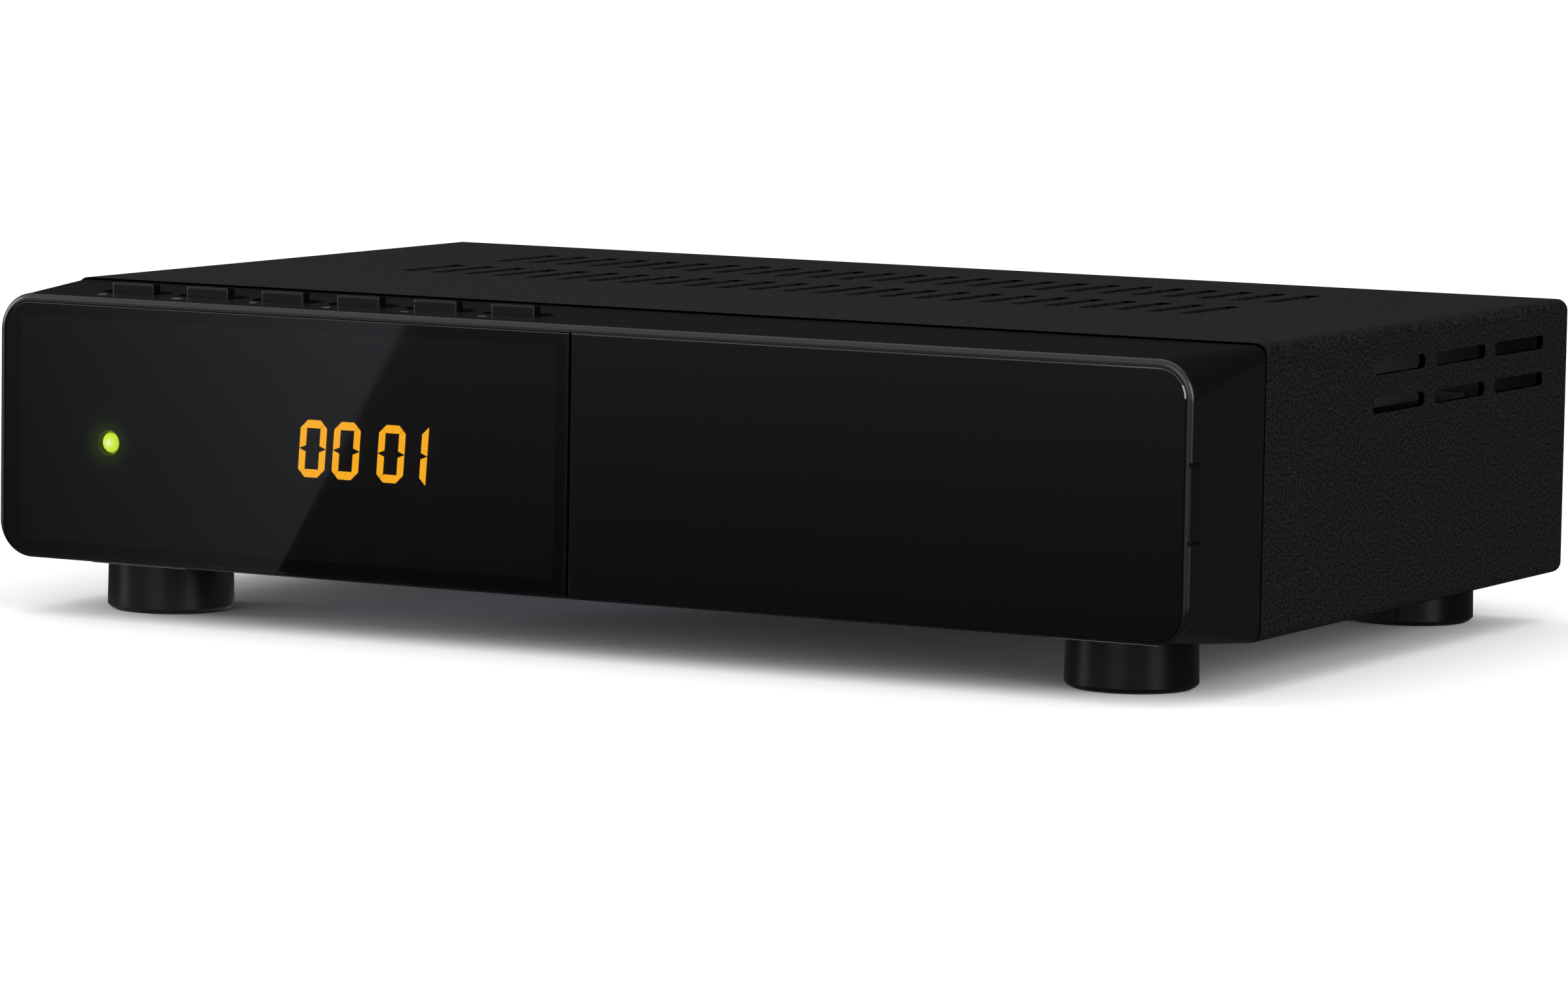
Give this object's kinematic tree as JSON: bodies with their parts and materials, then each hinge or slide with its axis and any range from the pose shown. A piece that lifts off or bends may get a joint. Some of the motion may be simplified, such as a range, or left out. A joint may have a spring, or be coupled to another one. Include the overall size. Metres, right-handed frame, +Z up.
{
  "type": "satellite tv receiver",
  "caption": "Low black set-top receiver with a vented steel case, a smoked display window, a side-hinged front flap, push keys on the bezel's top and round feet.",
  "frame": {"origin": "on the floor below the middle of the bounding box", "axes": "+X to the right along the width, -Y to the front with the window and the flap, +Z up"},
  "size_m": [0.168, 0.1228, 0.0423],
  "materials": {
    "bezel_plastic": "fine-grained black",
    "smoked_window": "smoke-tinted, polished",
    "tape": "black adhesive tape",
    "flap_plastic": "polished black",
    "steel_pin": "bright",
    "switch_plastic": "black",
    "circuit_board": "green solder mask",
    "screw_steel": "black zinc",
    "display_face": "dark display face",
    "led_body": "clear green",
    "sensor_body": "dark red",
    "painted_steel": "fine-textured black powder coat",
    "zinc_steel": "zinc-plated",
    "foot_rubber": "smooth black",
    "pad_rubber": "soft black",
    "chip_plastic": "black moulding",
    "sink_aluminium": "extruded",
    "can_aluminium": "sleeved",
    "socket_white": "white nylon",
    "cable_white": "white film",
    "tin_plate": "tin-plated",
    "nickel": "nickel-plated",
    "contact_brass": "bright",
    "socket_black": "black",
    "audio_plastic": "orange",
    "key_plastic": "smooth black"
  },
  "bodies": {
    "housing": {"front_bezel": "bezel_plastic", "display_window": "smoked_window", "window_tape": "tape", "key_switches": "switch_plastic", "front_board": "circuit_board", "front_board_screws": "screw_steel", "display_module": "display_face", "standby_led": "led_body", "infrared_sensor": "sensor_body", "top_cover": "painted_steel", "cover_screws": "screw_steel", "base_tray": "zinc_steel", "front_left_foot": "foot_rubber", "front_right_foot": "foot_rubber", "rear_left_foot": "foot_rubber", "rear_right_foot": "foot_rubber", "foot_pads": "pad_rubber", "foot_screws": "screw_steel", "main_board": "circuit_board", "board_standoffs": "zinc_steel", "board_screws": "screw_steel", "processor": "chip_plastic", "thermal_pad": "pad_rubber", "heat_sink": "sink_aluminium", "memory_chips": "chip_plastic", "filter_capacitors": "can_aluminium", "power_inductors": "chip_plastic", "cable_sockets": "socket_white", "flat_cable": "cable_white", "tuner_can": "tin_plate", "tuner_lid": "tin_plate", "lnb_socket": "nickel", "lnb_insulator": "socket_white", "lnb_contact": "contact_brass", "lnb_nut": "nickel", "audio_socket_body": "socket_black", "audio_barrel": "nickel", "audio_insert": "audio_plastic", "hdmi_shell": "nickel", "hdmi_tongue": "socket_black", "scart_housing": "socket_black", "dc_jack_body": "socket_black", "dc_jack_pin": "nickel", "usb_shell": "nickel", "usb_tongue": "socket_white"},
    "flap": {"flap_door": "flap_plastic", "hinge_pins": "steel_pin"},
    "power_button": {"power_key": "key_plastic", "power_plunger": "switch_plastic"},
    "menu_button": {"menu_key": "key_plastic", "menu_plunger": "switch_plastic"},
    "channel_down_button": {"channel_down_key": "key_plastic", "channel_down_plunger": "switch_plastic"},
    "channel_up_button": {"channel_up_key": "key_plastic", "channel_up_plunger": "switch_plastic"},
    "volume_down_button": {"volume_down_key": "key_plastic", "volume_down_plunger": "switch_plastic"},
    "volume_up_button": {"volume_up_key": "key_plastic", "volume_up_plunger": "switch_plastic"}
  },
  "joints": [
    {"name": "flap_hinge", "type": "hinge", "parent": "housing", "child": "flap", "pos_m": [0.00272, -0.0594, 0.0238], "axis": [0, 0, -1], "range_deg": [0, 100]},
    {"name": "power_press", "type": "slide", "parent": "housing", "child": "power_button", "axis": [0, 0, -1], "range_m": [0, 0.0004], "stiffness_N_per_m": 1500},
    {"name": "menu_press", "type": "slide", "parent": "housing", "child": "menu_button", "axis": [0, 0, -1], "range_m": [0, 0.0004], "stiffness_N_per_m": 1500},
    {"name": "channel_down_press", "type": "slide", "parent": "housing", "child": "channel_down_button", "axis": [0, 0, -1], "range_m": [0, 0.0004], "stiffness_N_per_m": 1500},
    {"name": "channel_up_press", "type": "slide", "parent": "housing", "child": "channel_up_button", "axis": [0, 0, -1], "range_m": [0, 0.0004], "stiffness_N_per_m": 1500},
    {"name": "volume_down_press", "type": "slide", "parent": "housing", "child": "volume_down_button", "axis": [0, 0, -1], "range_m": [0, 0.0004], "stiffness_N_per_m": 1500},
    {"name": "volume_up_press", "type": "slide", "parent": "housing", "child": "volume_up_button", "axis": [0, 0, -1], "range_m": [0, 0.0004], "stiffness_N_per_m": 1500}
  ]
}
